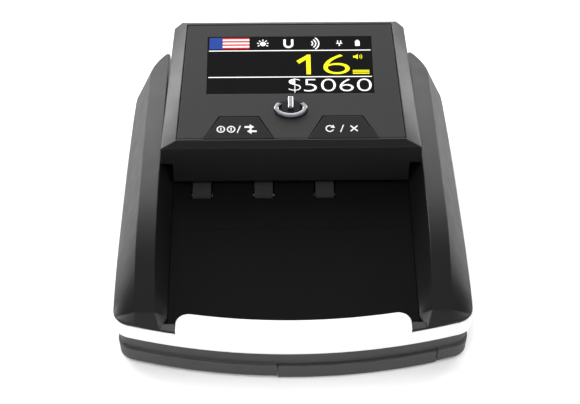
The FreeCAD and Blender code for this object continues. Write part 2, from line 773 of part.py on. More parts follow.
def make_side_plate(label, side):
    """Upright plate that carries one end of both drive shafts."""
    plate = body(label)
    x_middle = side * (PLATE_FACE - 1.0)
    profile = sketch(plate, label + "_profile", "YZ_Plane", 0.0, 0.0, x_middle)
    top = PATH_LEVEL - size("tray_thickness") - 0.05
    draw_outline(profile, [
        (-8.0, 18.0), (-8.0, top - 1.7), (0.0, top), (54.5, top), (54.5, FLOOR_TOP),
        (26.0, FLOOR_TOP), (22.0, 14.0), (8.0, 14.0), (4.0, FLOOR_TOP), (-4.0, FLOOR_TOP),
    ])
    pad(plate, profile, "Sizes.wall", symmetric=True)
    level = size("shaft_level")
    holes = [("feed", size("feed_place"), level, BUSH_RADIUS), ("rear", REAR_SHAFT, level, BUSH_RADIUS)]
    if side > 0:
        holes.append(("motor", MOTOR_Y, MOTOR_Z, MOTOR_NOSE))
        holes.append(("idler", IDLER_Y, level, IDLER_BORE))
    for name, y, z, radius in holes:
        hole = sketch(plate, f"{label}_{name}_hole", "YZ_Plane", y, z, x_middle)
        draw_circle(hole, radius)
        pocket(plate, hole, length=8.0)


def make_bushes():
    """Four flanged bearing bushes pressed into the side plates."""
    bushes = []
    for side in SIDES:
        for name, y in (("feed", size("feed_place")), ("rear", REAR_SHAFT)):
            inner_face = side * (PLATE_FACE - 2.0)
            start = inner_face if side > 0 else inner_face - 2.0
            flange_start = PLATE_FACE if side > 0 else -PLATE_FACE - 1.0
            tag = f"{name}_{'right' if side > 0 else 'left'}"
            level, bore_radius = "Sizes.shaft_level", "Sizes.shaft_radius + Sizes.running_gap"
            sleeve = cylinder(f"sleeve_{tag}", BUSH_RADIUS, "Sizes.wall", start, y, level, Y_AXIS, 90)
            flange = cylinder(f"flange_{tag}", BUSH_RADIUS + 1.2, 1.0, flange_start, y, level, Y_AXIS, 90)
            whole = fuse(f"bush_blank_{tag}", [sleeve, flange])
            bore = cylinder(f"bush_bore_{tag}", bore_radius, 8.0, start - 3.0, y, level, Y_AXIS, 90)
            bushes.append(cut(f"bush_{tag}", whole, bore))
    keep(group("bush_group", bushes), "shaft_bushes")


def make_motor():
    """Round geared motor with flats, its shaft end through the right side plate."""
    motor = body("drive_motor")
    end = PLATE_FACE - 2.0
    can = sketch(motor, "motor_can", "YZ_Plane", MOTOR_Y, MOTOR_Z, end - size("motor_length"))
    draw_circle(can, "Sizes.motor_radius")
    drum = pad(motor, can, "Sizes.motor_length")
    doc.recompute()
    rims = edges_where(drum.Shape, lambda edge, middle: edge.Curve.TypeId == "Part::GeomCircle")
    soften(motor, drum, 1.2, rims, "motor_rounding")
    nose = sketch(motor, "motor_nose", "YZ_Plane", MOTOR_Y, MOTOR_Z, end - 0.5)
    draw_circle(nose, MOTOR_NOSE - 0.05)
    pad(motor, nose, 2.5)
    hole = sketch(motor, "motor_shaft_hole", "YZ_Plane", MOTOR_Y, MOTOR_Z, end + 3.0)
    draw_circle(hole, "Sizes.motor_shaft_radius + Sizes.running_gap")
    pocket(motor, hole, symmetric=False, length=14.0).Reversed = False


def make_drive():
    """Feed and transport shafts, their rollers, and the gear train from the motor."""
    radius, level = size("shaft_radius"), size("shaft_level")
    gear_end = size("gear_place") + size("gear_width") + 0.6
    pitch_idler = 360.0 / size("idler_teeth")
    for name, y in (("feed", size("feed_place")), ("transport", REAR_SHAFT)):
        straight_shaft(f"{name}_shaft", radius, -PLATE_FACE - 1.0, gear_end, y, level)
        roller_set(f"{name}_rollers", "Sizes.roller_radius", "Sizes.shaft_radius", y, level)
        spur_gear(f"{name}_gear", size("wheel_teeth"), 0.0, radius, y, level, hub=4.0)
    idler_bore = IDLER_BORE + size("running_gap")
    spur_gear("idler_gear", size("idler_teeth"), pitch_idler / 2, idler_bore, IDLER_Y, level)
    pinion_turn = math.degrees(-MOTOR_ANGLE) + 180 + 180 / size("pinion_teeth")
    motor_shaft = size("motor_shaft_radius")
    spur_gear("motor_pinion", size("pinion_teeth"), pinion_turn, motor_shaft, MOTOR_Y, MOTOR_Z)
    straight_shaft("motor_shaft", motor_shaft, PLATE_FACE - 8.0, gear_end, MOTOR_Y, MOTOR_Z)


def make_idler_post():
    """Shouldered post of the idler gear, pressed into the right side plate."""
    y, z = IDLER_Y, size("shaft_level")
    start = PLATE_FACE - 2.0
    gear_face = size("gear_place")
    gear_back = gear_face + size("gear_width")
    post = rod(IDLER_BORE, gear_back + 1.2 - start, start, y, z)
    post = post.fuse(rod(3.0, gear_face - PLATE_FACE - 0.1, PLATE_FACE, y, z))
    post = post.fuse(rod(2.6, 0.8, gear_back + 0.2, y, z))
    return free_form("idler_post", post.removeSplitter())


# ---------------------------------------------------------------- electronics in the base


def make_main_board():
    """Main circuit board in the left half of the base."""
    board = body("main_board")
    outline = sketch(board, "board_outline", "XY_Plane", -32.0, -34.0, "Sizes.board_level")
    draw_rectangle(outline, 42.0, 52.0)
    plate = pad(board, outline, "Sizes.board_thickness")
    doc.recompute()
    uprights = edges_where(plate.Shape, lambda edge, middle: is_vertical(edge))
    soften(board, plate, 2.0, uprights, "board_corners")
    for number, (x, y) in enumerate(BOARD_HOLES):
        hole = sketch(board, f"board_hole_{number}", "XY_Plane", x, y, "Sizes.board_level")
        draw_circle(hole, PILLAR_PIN + 0.1)
        pocket(board, hole, length=8.0)


def make_board_pillars():
    """Four pillars under the main board, each with a pin through it."""
    pillars = []
    height = size("board_level") - FLOOR_TOP
    pin_height = height + size("board_thickness") + 1.0
    for number, (x, y) in enumerate(BOARD_HOLES):
        column = cylinder(f"pillar_{number}", 3.0, height, x, y, FLOOR_TOP)
        pin = cylinder(f"pillar_pin_{number}", PILLAR_PIN, pin_height, x, y, FLOOR_TOP)
        pillars.append(fuse(f"pillar_fuse_{number}", [column, pin]))
    keep(group("pillar_group", pillars), "board_pillars")


def make_board_chips():
    """Processor, memory, power coil and connectors standing on the main board."""
    top = size("board_level") + size("board_thickness")
    chips = [
        box("processor", 12.0, 12.0, 1.6, -38.0, -40.0, top),
        box("memory_chip", 8.0, 5.0, 1.2, -38.0, -50.0, top),
        box("motor_driver", 5.0, 6.0, 1.5, -22.0, -32.0, top),
        box("power_coil", 7.0, 7.0, 4.0, -24.0, -22.0, top),
        box("ribbon_socket", 16.0, 4.0, 3.0, -40.0, -17.0, top),
        box("battery_socket", 4.0, 8.0, 5.0, -17.0, -48.0, top),
        cylinder("capacitor_one", 3.0, 5.5, -46.0, -28.0, top),
        cylinder("capacitor_two", 3.0, 5.5, -46.0, -36.0, top),
    ]
    keep(group("chip_group", chips), "board_components")


def make_battery():
    """Flat rechargeable pack over the door, with rounded long edges."""
    pack = body("battery_pack")
    level = FLOOR_TOP + size("pack_lift")
    middle = (size("door_left") + size("door_right")) / 2
    outline = sketch(pack, "pack_outline", "XY_Plane", middle, -50.0, level)
    draw_rectangle(outline, "Sizes.battery_width", "Sizes.battery_depth")
    block = pad(pack, outline, "Sizes.battery_height")
    doc.recompute()
    long_edges = edges_where(block.Shape, lambda edge, middle_point: not is_vertical(edge))
    soften(pack, block, 1.6, long_edges, "pack_rounding")


def make_power_inlet():
    """Barrel socket for the mains adaptor behind the hole in the rear wall."""
    x, z = size("inlet_place"), size("port_level")
    front, face = size("inlet_front"), size("inlet_face")
    block = brick(x - 5.0, x + 5.0, front, face, FLOOR_TOP, z + 4.4)
    block = block.cut(rod(2.9, face - front, x, front + 2.0, z, Y_AXIS))
    pin = rod(1.0, 8.0, x, front + 1.5, z, Y_AXIS)
    return free_form("power_inlet", block.fuse(pin).removeSplitter())


def make_speaker():
    """Round beeper against the rear wall's sound holes."""
    speaker = body("speaker")
    ring = sketch(speaker, "speaker_ring", "XZ_Plane", 0.0, 10.6, -62.0)
    draw_circle(ring, 6.6)
    drum = pad(speaker, ring, 7.6, reverse=True)
    doc.recompute()
    rims = edges_where(drum.Shape, lambda edge, middle: edge.Curve.TypeId == "Part::GeomCircle")
    soften(speaker, drum, 0.8, rims, "speaker_rounding")


def make_lower_sensors():
    """Sensor window in the lower guide, and the board with light sources under it."""
    window = body("sensor_window")
    under_path = PATH_LEVEL - size("tray_thickness")
    pane = sketch(window, "pane", "XY_Plane", 0.0, "Sizes.sensor_place", under_path)
    draw_rectangle(pane, *SENSOR_PANE)
    pad(window, pane, size("tray_thickness") - 0.05)
    board = body("sensor_board")
    level, thickness = 26.0, size("board_thickness")
    strip = sketch(board, "sensor_strip", "XY_Plane", 0.0, "Sizes.sensor_place", level)
    draw_rectangle(strip, SENSOR_PANE[0] + 2.0, SENSOR_PANE[1] + 4.0)
    pad(board, strip, thickness)
    lamps = []
    count, pitch, length, width = 8, 9.0, 3.2, 2.8
    for number in range(count):
        x = pitch * (number - (count - 1) / 2) - length / 2
        y = size("sensor_place") - width / 2
        lamps.append(box(f"lamp_{number}", length, width, 2.0, x, y, level + thickness))
    keep(group("lamp_group", lamps), "sensor_lamps")


def make_magnetic_head():
    """Magnetic reading head in the upper guide's opening."""
    reader = body("magnetic_head")
    bottom = size("head_bottom")
    block = sketch(reader, "reader_block", "XY_Plane", "Sizes.reader_x", "Sizes.reader_y", bottom)
    draw_rectangle(block, *READER)
    case = pad(reader, block, 6.0)
    doc.recompute()
    low = edges_where(case.Shape, lambda edge, middle: middle.z < bottom + 0.01 and edge.Length > 6)
    soften(reader, case, 1.0, low, "reader_rounding")


# ---------------------------------------------------------------- head


# half widths of the head's ends at its foot, shoulder and crown, and the shoulder's rise above the foot
HEAD_FRONT_END = {"foot": 49.1, "shoulder": 48.9, "rise": 7.2, "crown": 43.0}
HEAD_REAR_END = {"foot": 48.5, "shoulder": 45.3, "rise": 21.4, "crown": 39.8}


def head_form(trim, top_trim):
    """Wedge of the head: level underside, leaning sides, bevels and a tilted top."""
    slope = math.tan(math.radians(size("panel_tilt")))
    low = size("head_low")
    sections = []
    for y, end in ((size("head_front") + trim, HEAD_FRONT_END), (70.0 - trim, HEAD_REAR_END)):
        top = size("panel_level") + (y - size("panel_front")) * slope
        half = [
            (end["foot"] - trim, low + trim),
            (end["shoulder"] - trim, low + end["rise"] - 0.4 * trim),
            (end["crown"] - 0.3 * trim, top - top_trim),
        ]
        ring = half + [(-x, z) for x, z in reversed(half)]
        corners = [Vector(x, y, z) for x, z in ring]
        sections.append(Part.makePolygon(corners + corners[:1]))
    return Part.makeLoft(sections, True, True)


def head_side(trim, top_trim):
    """Side profile of the head: upright front, front chamfer, tilted top, rounded back."""
    front, rear = size("head_front") + trim, 63.0 - trim
    edge = on_panel(-0.2)
    crest = on_panel(size("panel_length") + 0.6)
    return [
        (front, 20.0),
        (front, edge.z - 2.6 - top_trim * 0.4),
        (edge.y + trim, edge.z - top_trim),
        (crest.y, crest.z - top_trim),
        (crest.y + 3.4 - trim, crest.z - 1.6 - top_trim),
        (rear - 0.6, 52.0),
        (rear, 36.0),
        (rear, 20.0),
    ]


def panel_outline(grow):
    """Outline of the control panel in (across, along) points, grown by a margin."""
    front, rear = size("panel_front_half") + grow, size("panel_rear_half") + grow
    start, end = 0.5 - grow, size("panel_length") + grow
    return [(-front, start), (front, start), (rear, end), (-rear, end)]


def key_outline(side, grow):
    """Outline of one trapezoid key in (across, along) points, grown by a margin."""
    middle = side * size("key_place")
    front, rear = size("key_front_half") + grow, size("key_rear_half") + grow
    start, end = size("key_front") - grow, size("key_rear") + grow
    return [(middle - front, start), (middle + front, start), (middle + rear, end), (middle - rear, end)]


def make_head_shell():
    """Hollow head with an opening for the control panel and a hinge ear on each side."""
    low, bottom, front = size("head_low"), size("head_bottom"), size("head_front")
    half, wall, cover = size("head_lower_half_width"), size("wall"), 3.4
    outer = head_form(0, 0)
    creases = [edge for edge in outer.Edges if edge.Length > 60 and edge.BoundBox.ZMin > low + 2]
    outer = outer.makeFillet(0.8, creases)
    outer = outer.common(side_slab(head_side(0, 0), -60, 60))
    lower = brick(-half, half, front, 62.4, bottom, low + 0.5)
    lower = lower.cut(brick(-60, 60, front - 1, front + 1.6, 30, 35.5))
    shell = outer.fuse(lower).removeSplitter()
    inner = head_form(wall, cover).common(side_slab(head_side(wall, cover), -60, 60))
    shell = shell.cut(inner)
    shell = shell.cut(brick(wall - half, half - wall, front + wall, 60.4, bottom - 1, low + 2.5))
    shell = shell.cut(panel_prism(panel_outline(0), -size("panel_thickness"), 8))
    shell = shell.cut(panel_prism(panel_outline(-1.8), -12, 8))
    for side in SIDES:
        shell = shell.cut(panel_prism(key_outline(side, size("key_gap")), -6, 8))
    # hinge ears beside the note path, turning on the two hinge pins
    level, y = size("hinge_level"), size("hinge_place")
    ear_radius, ear = size("ear_radius"), size("ear_thickness")
    web_profile = [(y - ear_radius, level), (y + 2.4, level + 0.4), (y + 2.4, 38.0), (y - ear_radius, 38.0)]
    for side in SIDES:
        x_from, x_to = side_span(side, half - ear, half)
        shell = shell.fuse(rod(ear_radius, ear, x_from, y, level))
        shell = shell.fuse(side_slab(web_profile, x_from, x_to))
        shell = shell.cut(rod(size("hinge_radius") + size("running_gap"), ear + 2, x_from - 1, y, level))
    return free_form("head_shell", shell.removeSplitter())


def make_hinge_pins():
    """Two headed pins pressed through the wings' inner walls into the head's ears."""
    pins = []
    y, z = "Sizes.hinge_place", "Sizes.hinge_level"
    for side, name in ((-1, "left"), (1, "right")):
        start, end = side_span(side, 42.8, size("tray_half_width") + size("wall"))
        pin = cylinder(f"hinge_pin_{name}", "Sizes.hinge_radius", end - start, start, y, z, Y_AXIS, 90)
        pins.append(pin)
    keep(group("hinge_pin_group", pins), "hinge_pins")


WINDOW_MIDDLE = "(Sizes.window_front + Sizes.window_rear) / 2"
WINDOW_WIDTH = "Sizes.window_half_width * 2"
WINDOW_LENGTH = "Sizes.window_rear - Sizes.window_front"


def make_control_panel():
    """Flush tilted cover plate with openings for the display, the keys and the power button."""
    panel = body("control_panel")
    outline = sketch(panel, "panel_outline")
    draw_outline(outline, panel_outline(-size("panel_gap")))
    pad(panel, outline, "Sizes.panel_thickness", reverse=True)
    window = sketch(panel, "window_cut", "XY_Plane", 0.0, WINDOW_MIDDLE)
    draw_rectangle(window, f"{WINDOW_WIDTH} + 0.1", f"{WINDOW_LENGTH} + 0.1")
    pocket(panel, window, length=10.0)
    for name, side in (("left", -1), ("right", 1)):
        hole = sketch(panel, f"key_cut_{name}")
        draw_outline(hole, key_outline(side, size("key_gap")))
        pocket(panel, hole, length=10.0)
    socket = sketch(panel, "power_cut")
    draw_outline(socket, power_outline(0.15))
    pocket(panel, socket, length=10.0)
    panel.Placement = panel_placement()


def power_outline(grow):
    """Outline of the oval power button, as a run of short sides."""
    wide, deep = size("power_half_width") + grow, size("power_half_depth") + grow
    points, steps = [], 24
    for step in range(steps):
        angle = 2 * math.pi * step / steps
        points.append((wide * math.sin(angle), size("power_place") + deep * math.cos(angle)))
    return points


def panel_oval(shrink, low, high):
    """An upright oval block on the power button's centre, in the panel's own axes."""
    across, along = size("power_half_width") - shrink, size("power_half_depth") - shrink
    rim = Part.Ellipse(Vector(0, size("power_place"), low), across, along).toShape()
    return Part.Face(Part.Wire([rim])).extrude(Vector(0, 0, high - low))


def make_power_button():
    """Oval button level with the panel, its stem, and the plated symbol that stands on it."""
    centre, height = size("power_place"), size("power_height")
    stem = rod(1.2, 3.4, 0, centre, size("stem_end"), Z_AXIS)
    button = panel_oval(0, -2.4, 0).fuse(stem)
    free_form("power_button", button).Placement = panel_placement()

    ring = panel_oval(0, 0, height).cut(panel_oval(size("power_stroke"), -1, height + 1))
    ring = ring.makeFillet(0.5, rim_edges(ring, height))
    # the ring is open towards the back
    gap_turn, far = math.radians(64), 12.0
    end_x, end_y = far * math.sin(gap_turn), centre + far * math.cos(gap_turn)
    corners = [(0, centre), (end_x, end_y), (far, centre + far), (-far, centre + far), (-end_x, end_y)]
    wedge = Part.Face(Part.makePolygon([Vector(x, y, -1) for x, y in corners + corners[:1]]))
    ring = ring.cut(wedge.extrude(Vector(0, 0, height + 2)))
    half, bar_top, clearance = size("power_bar_width") / 2, height + 0.5, 1.0
    button_end = centre + size("power_half_depth")
    bar_end = button_end + 0.9
    bar = brick(-half, half, centre - 0.4, bar_end, 0, bar_top)
    bar = bar.makeFillet(0.6, rim_edges(bar, bar_top))
    # the bar overhangs the panel, clear of it when the button is pressed
    bar = bar.cut(brick(-half - 1, half + 1, button_end - 0.4, bar_end + 1, -1, clearance))
    symbol = Part.makeCompound([ring, bar])
    free_form("power_symbol", symbol).Placement = panel_placement()


def make_key(label, side):
    """Trapezoid key level with the panel, with a stem that meets its switch."""
    key = body(label)
    face = sketch(key, label + "_face", "XY_Plane", 0.0, 0.0, "-Sizes.key_depth")
    draw_outline(face, key_outline(side, 0))
    pad(key, face, "Sizes.key_depth")
    x = side * size("key_place")
    stem = sketch(key, label + "_stem", "XY_Plane", x, "Sizes.key_switch_place", "Sizes.stem_end")
    draw_circle(stem, 1.6)
    pad(key, stem, "-Sizes.stem_end - Sizes.key_depth")
    key.Placement = panel_placement()


def make_display():
    """Glass window flush with the panel and the display module behind it."""
    window = body("display_window")
    pane = sketch(window, "display_pane", "XY_Plane", 0.0, WINDOW_MIDDLE, "-Sizes.panel_thickness")
    draw_rectangle(pane, WINDOW_WIDTH, WINDOW_LENGTH)
    block = pad(window, pane, "Sizes.panel_thickness")
    doc.recompute()
    uprights = edges_where(block.Shape, lambda edge, middle: is_vertical(edge))
    soften(window, block, 0.8, uprights, "pane_corners")
    window.Placement = panel_placement()
    module = body("display_module")
    low, high = -4.4, -1.7
    glass = sketch(module, "display_glass", "XY_Plane", 0.0, WINDOW_MIDDLE, low)
    draw_rectangle(glass, f"{WINDOW_WIDTH} + 3", f"{WINDOW_LENGTH} + 2")
    pad(module, glass, high - low)
    module.Placement = panel_placement()


def make_key_board():
    """Circuit board under the keys, with one switch below each key and the power button."""
    board = body("key_board")
    low, thickness = -10.4, size("board_thickness")
    outline = sketch(board, "key_board_outline", "XY_Plane", 0.0, 10.0, low)
    draw_rectangle(outline, 74.0, 16.0)
    pad(board, outline, thickness)
    board.Placement = panel_placement()
    switches = []
    width, height = 6.0, 2.2
    key_x, key_along = size("key_place"), size("key_switch_place")
    places = [("left", -key_x, key_along), ("right", key_x, key_along), ("power", 0.0, size("power_place"))]
    for name, x, along in places:
        item = box(f"switch_{name}", width, width, height)
        item.Placement = panel_placement(along - width / 2, low + thickness, x - width / 2)
        switches.append(item)
    keep(group("switch_group", switches), "key_switches")


def make_upper_guide():
    """Guide plate that closes the head's underside over the note path."""
    guide = body("upper_guide")
    bottom = size("head_bottom")
    plate = sketch(guide, "upper_guide_plate", "XY_Plane", 0.0, 29.4, bottom)
    draw_rectangle(plate, 84.8, 61.6)
    pad(guide, plate, GUIDE_THICKNESS)
    for number, x in enumerate(roller_places()):
        for row, y, depth in (("front", 3.8, 12.8), ("rear", REAR_SHAFT, 13.4)):
            window = sketch(guide, f"upper_window_{row}_{number}", "XY_Plane", x, y, bottom)
            draw_rectangle(window, "Sizes.roller_width + 1.2", depth)
            pocket(guide, window, length=8.0)
    opening = sketch(guide, "reader_opening", "XY_Plane", "Sizes.reader_x", "Sizes.reader_y", bottom)
    draw_rectangle(opening, READER[0] + 0.2, READER[1] + 0.2)
    pocket(guide, opening, length=8.0)
    for name, side in (("left", -1), ("right", 1)):
        notch = sketch(guide, f"guide_notch_{name}", "XY_Plane", side * 42.4, 60.2, bottom)
        draw_rectangle(notch, 1.4, 10.0)
        pocket(guide, notch, length=8.0)


def make_pinch_sets():
    """Idle pinch rollers above each drive roller, on sprung shafts in the head."""
    sets = (("front", FRONT_PINCH_Y, FRONT_PINCH_Z), ("rear", REAR_SHAFT, REAR_PINCH_Z))
    low = size("head_bottom") + GUIDE_THICKNESS
    thickness, half, reach = 2.0, 2.6, 40.0
    bore = "Sizes.pinch_shaft_radius + Sizes.running_gap"
    carriers = []
    for name, y, z in sets:
        straight_shaft(f"{name}_pinch_shaft", size("pinch_shaft_radius"), -reach - 0.6, reach + 0.6, y, z)
        roller_set(f"{name}_pinch_rollers", "Sizes.pinch_radius", "Sizes.pinch_shaft_radius", y, z)
        for side, x in (("left", -reach), ("right", reach - thickness)):
            tag = f"{name}_{side}"
            block = box(f"carrier_{tag}", thickness, 2 * half, z + 3.0 - low, x, y - half, low)
            hole = cylinder(f"carrier_bore_{tag}", bore, 6.0, x - 2, y, z, Y_AXIS, 90)
            carriers.append(cut(f"carrier_cut_{tag}", block, hole))
    keep(group("carrier_group", carriers), "pinch_carriers")


# ---------------------------------------------------------------- fasteners and feet


def make_feet():
    """Four rubber feet under the corners."""
    feet = []
    for number, (x, y) in enumerate(FOOT_PLACES):
        feet.append(cylinder(f"foot_{number}", "Sizes.foot_radius", "Sizes.foot_height", x, y, 0.0))
    keep(group("foot_group", feet), "rubber_feet")


def make_housing_screws():
    """Six screws from below into the bosses of the base."""
    screws = []
    head_low, head_height, tip = 0.8, 1.2, 24.0
    slot_length, slot_width = 3.4, 0.7
    for number, (x, y) in enumerate(BOSS_PLACES):
        head = cylinder(f"screw_head_{number}", "Sizes.screw_head_radius", head_height, x, y, head_low)
        stem_low = head_low + head_height / 2
        stem = cylinder(f"screw_stem_{number}", "Sizes.screw_radius", tip - stem_low, x, y, stem_low)
        blank = fuse(f"screw_blank_{number}", [head, stem])
        slot_x, slot_y = x - slot_length / 2, y - slot_width / 2
        slot = box(f"screw_slot_{number}", slot_length, slot_width, 0.6, slot_x, slot_y, head_low - 0.1)
        screws.append(cut(f"screw_{number}", blank, slot))
    keep(group("screw_group", screws), "housing_screws")


def build():
    """Makes every sub-part, from the table up."""
    make_base_chassis()
    make_battery_door()
    make_trim_band()
    make_upper_shell()
    make_note_tray()
    make_lower_guide()
    for label, side in (("left_side_plate", -1), ("right_side_plate", 1)):
        make_side_plate(label, side)
    make_bushes()
    make_motor()
    make_drive()
    make_idler_post()
    make_main_board()
    make_board_pillars()
    make_board_chips()
    make_battery()
    make_power_inlet()
    make_speaker()
    make_lower_sensors()
    make_head_shell()
    make_hinge_pins()
    make_control_panel()
    make_power_button()
    for label, side in (("left_key", -1), ("right_key", 1)):
        make_key(label, side)
    make_display()
    make_key_board()
    make_upper_guide()
    make_pinch_sets()
    make_magnetic_head()
    make_feet()
    make_housing_screws()


def check_and_write():
    """Recomputes, refuses anything invalid, and writes one STEP file per sub-part."""
    doc.recompute()
    for item in doc.Objects:
        if "Invalid" in item.State or "Error" in item.State:
            raise RuntimeError(f"{item.Label} did not build: {item.State}")
    for item in sub_parts:
        if item.Shape.isNull() or not item.Shape.isValid() or not item.Shape.Solids:
            raise RuntimeError(f"{item.Label} has no valid solid")
    os.makedirs("parts", exist_ok=True)
    for item in sub_parts:
        item.Shape.exportStep(f"parts/{item.Label}.step")
        print(f"{item.Label:20s} solids {len(item.Shape.Solids)} volume {item.Shape.Volume:10.1f}")


build()
check_and_write()
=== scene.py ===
import json
import math

import bmesh
import bpy
from mathutils import Euler, Matrix, Vector


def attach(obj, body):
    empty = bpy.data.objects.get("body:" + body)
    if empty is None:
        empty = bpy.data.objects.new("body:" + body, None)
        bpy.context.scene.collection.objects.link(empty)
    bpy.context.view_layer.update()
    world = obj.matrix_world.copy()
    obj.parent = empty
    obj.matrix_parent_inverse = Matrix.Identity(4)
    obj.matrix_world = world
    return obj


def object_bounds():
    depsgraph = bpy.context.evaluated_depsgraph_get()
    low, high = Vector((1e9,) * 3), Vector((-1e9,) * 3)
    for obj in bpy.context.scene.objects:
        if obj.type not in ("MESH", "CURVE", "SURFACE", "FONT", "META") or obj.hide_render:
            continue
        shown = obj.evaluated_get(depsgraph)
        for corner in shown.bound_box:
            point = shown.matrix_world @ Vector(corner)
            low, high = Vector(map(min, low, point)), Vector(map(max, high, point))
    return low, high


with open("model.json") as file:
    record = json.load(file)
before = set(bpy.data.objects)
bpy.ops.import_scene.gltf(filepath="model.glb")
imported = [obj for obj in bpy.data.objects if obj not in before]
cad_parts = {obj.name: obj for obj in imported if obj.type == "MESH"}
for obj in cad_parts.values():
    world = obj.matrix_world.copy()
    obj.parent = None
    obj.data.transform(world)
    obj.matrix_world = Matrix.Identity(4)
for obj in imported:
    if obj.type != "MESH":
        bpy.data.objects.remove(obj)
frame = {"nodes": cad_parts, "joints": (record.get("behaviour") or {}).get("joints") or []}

MM = 0.001
CAD_LOW, CAD_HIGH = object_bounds()
CAD_MIDDLE = (CAD_LOW + CAD_HIGH) / 2


# ---------------------------------------------------------------- shader nodes


NOISE_MIDDLE = (0.3, 0.7)  # where nearly all of a noise's values lie
EDGE_SAMPLES = 6
EDGE_TURN = (0.995, 0.90)  # cosines between the flat and the rounded normal, off an edge and on it
METAL_EDGE = 0.15


def new_finish(name):
    """A new material with its node tree and its Principled surface."""
    material = bpy.data.materials.new(name)
    material.use_nodes = True
    surface = material.node_tree.nodes["Principled BSDF"]
    return material, material.node_tree, surface


def node(tree, kind, inputs=None, **properties):
    """A shader node of that kind; an input is given as a value or as a socket to link."""
    made = tree.nodes.new("ShaderNode" + kind)
    for name, value in properties.items():
        setattr(made, name, value)
    for name, value in (inputs or {}).items():
        if isinstance(value, bpy.types.NodeSocket):
            tree.links.new(value, made.inputs[name])
        else:
            made.inputs[name].default_value = value
    return made


def noise(tree, size, detail=2.0, stretch=(1.0, 1.0, 1.0)):
    """Noise from 0 to 1 whose features are about size millimetres, longer where stretch is small."""
    place = node(tree, "TexCoord").outputs["Object"]
    shaped = node(tree, "Mapping", {"Vector": place, "Scale": stretch}).outputs["Vector"]
    grain = node(tree, "TexNoise", {"Vector": shaped, "Scale": 1.0 / (size * MM), "Detail": detail})
    return grain.outputs["Fac"]


def remap(tree, value, source, target):
    """value moved from the source range to the target range."""
    ranges = {"From Min": source[0], "From Max": source[1], "To Min": target[0], "To Max": target[1]}
    return node(tree, "MapRange", {"Value": value, **ranges}).outputs["Result"]


def multiply(tree, first, second):
    """The product of two values or sockets."""
    return node(tree, "Math", {0: first, 1: second}, operation="MULTIPLY").outputs["Value"]


def blend_colours(tree, factor, first, second):
    """The first colour turning into the second as factor goes from 0 to 1."""
    mixed = tree.nodes.new("ShaderNodeMix")
    mixed.data_type = "RGBA"
    wanted = {"Factor_Float": factor, "A_Color": first, "B_Color": second}
    for socket in mixed.inputs:
        value = wanted.get(socket.identifier)
        if value is None:
            continue
        if isinstance(value, bpy.types.NodeSocket):
            tree.links.new(value, socket)
        else:
            socket.default_value = value
    return next(s for s in mixed.outputs if s.identifier == "Result_Color")


def opaque(red, green, blue):
    """An opaque colour."""
    return (red, green, blue, 1.0)


def grey(level, blue=0.0):
    """An opaque grey, slightly blue if asked."""
    return opaque(level, level, level * (1.0 + blue))


def lighter(colour, share):
    """The colour scaled by a share, still opaque."""
    return opaque(colour[0] * share, colour[1] * share, colour[2] * share)


def set_bump(tree, surface, height, depth, strength=1.0, normal=None):
    """Relief of that depth in millimetres, over a normal if one is given."""
    inputs = {"Height": height, "Distance": depth * MM, "Strength": strength}
    if normal is not None:
        inputs["Normal"] = normal
    relief = node(tree, "Bump", inputs)
    tree.links.new(relief.outputs["Normal"], surface.inputs["Normal"])


def rounded_edges(tree, radius):
    """(a normal that rounds every edge by radius millimetres, 1 on those edges and 0 elsewhere)."""
    rounded = node(tree, "Bevel", {"Radius": radius * MM}, samples=EDGE_SAMPLES).outputs["Normal"]
    flat = node(tree, "NewGeometry").outputs["Normal"]
    turn = node(tree, "VectorMath", {0: rounded, 1: flat}, operation="DOT_PRODUCT").outputs["Value"]
    return rounded, remap(tree, turn, EDGE_TURN, (0.0, 1.0))


def moulded(name, colour, roughness, grain=0.35, depth=0.006, mottle=0.12, edge=0.5, edge_wear_and_sheen=0.6, shine=0.5):
    """Moulded plastic: eroded grain, faint flow marks, handled patches, and edges painted lighter, partly
    rubbed wear and partly a painted edge highlight.
    """
    material, tree, surface = new_finish(name)
    normal, on_edge = rounded_edges(tree, edge)
    flow = noise(tree, 22.0, detail=4.0)
    toned = blend_colours(tree, flow, lighter(colour, 1.0 - mottle), lighter(colour, 1.0 + mottle))
    # edges painted lighter: partly rubbed wear, partly a painted edge highlight
    rubbed_and_highlit = multiply(tree, on_edge, remap(tree, noise(tree, 3.0), (0.35, 0.7), (0.15, edge_wear_and_sheen)))
    worn_and_highlit = blend_colours(tree, rubbed_and_highlit, toned, lighter(colour, 2.2))
    patches = noise(tree, 6.0, detail=6.0)
    handled = remap(tree, patches, NOISE_MIDDLE, (roughness - 0.03, roughness + 0.03))
    tree.links.new(worn_and_highlit, surface.inputs["Base Color"])
    tree.links.new(handled, surface.inputs["Roughness"])
    set_bump(tree, surface, noise(tree, grain, detail=3.0), depth, normal=normal)
    surface.inputs["Specular IOR Level"].default_value = shine
    return material


def metal(name, colour, roughness, stretch=(1.0, 1.0, 1.0), streak=0.6, depth=0.002, spread=0.08):
    """Bare or plated metal, with streaks that run along the axis where stretch is small."""
    material, tree, surface = new_finish(name)
    normal, on_edge = rounded_edges(tree, METAL_EDGE)
    streaks = noise(tree, streak, detail=4.0, stretch=stretch)
    brushed = remap(tree, streaks, NOISE_MIDDLE, (roughness - spread, roughness + spread))
    tarnish = noise(tree, 6.0, detail=4.0)
    toned = blend_colours(tree, tarnish, lighter(colour, 0.86), lighter(colour, 1.08))
    # edges painted lighter: a painted edge highlight
    painted_edge_highlight = blend_colours(tree, multiply(tree, on_edge, 0.4), toned, lighter(colour, 1.25))
    tree.links.new(painted_edge_highlight, surface.inputs["Base Color"])
    tree.links.new(brushed, surface.inputs["Roughness"])
    set_bump(tree, surface, streaks, depth, normal=normal)
    surface.inputs["Metallic"].default_value = 1.0
    return material


